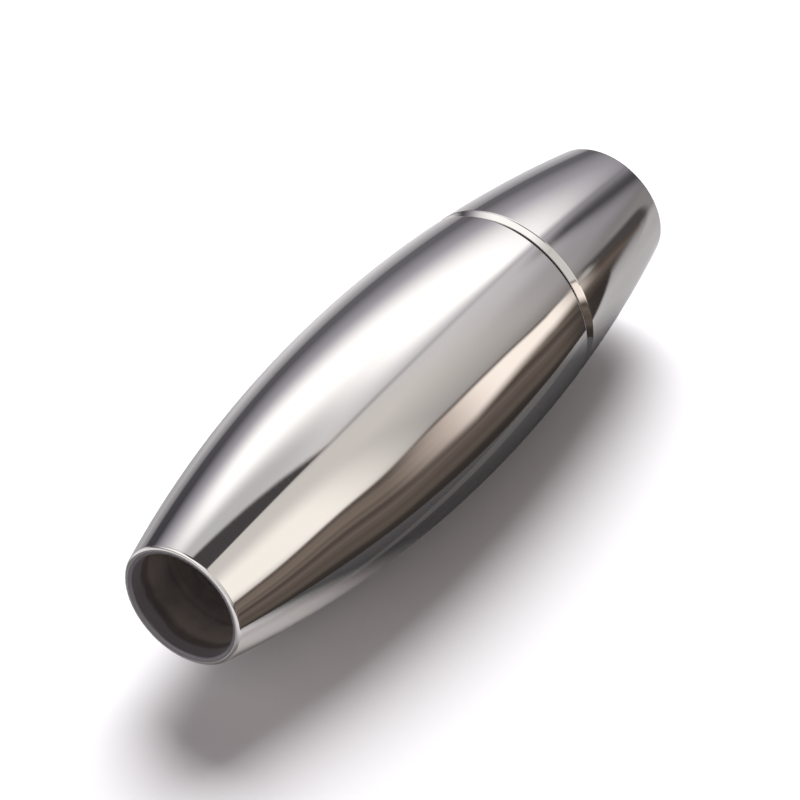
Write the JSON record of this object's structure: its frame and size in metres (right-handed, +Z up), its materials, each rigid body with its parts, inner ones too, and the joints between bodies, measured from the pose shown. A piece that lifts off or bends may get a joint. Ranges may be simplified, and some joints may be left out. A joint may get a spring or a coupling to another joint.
{
  "type": "magnetic clasp",
  "caption": "Barrel-shaped magnetic jewellery clasp in polished steel: a long and a short turned half that pull apart at a seam, each with a glue-in bore for a round cord.",
  "frame": {"origin": "on the ground under the barrel's widest place, where the clasp touches it as it lies on its side", "axes": "+X along the clasp from the long half's mouth to the short half's mouth, +Z up"},
  "size_m": [0.0254, 0.008, 0.008],
  "materials": {
    "polished_steel": "mirror-polished stainless steel",
    "nickel_plate": "bright nickel plating on a sintered magnet"
  },
  "bodies": {
    "long_end": {"long_half": "polished_steel", "long_magnet": "nickel_plate"},
    "short_core": {"short_magnet": "nickel_plate"},
    "short_end": {"short_half": "polished_steel"}
  },
  "joints": [
    {"name": "pull_apart", "type": "slide", "parent": "long_end", "child": "short_core", "axis": [1, 0, 0], "range_m": [0, 0.008], "stiffness_N_per_m": 5, "springref_m": -0.02},
    {"name": "swivel", "type": "hinge", "parent": "short_core", "child": "short_end", "pos_m": [0.008, 0, 0.004], "axis": [1, 0, 0], "continuous": true}
  ]
}
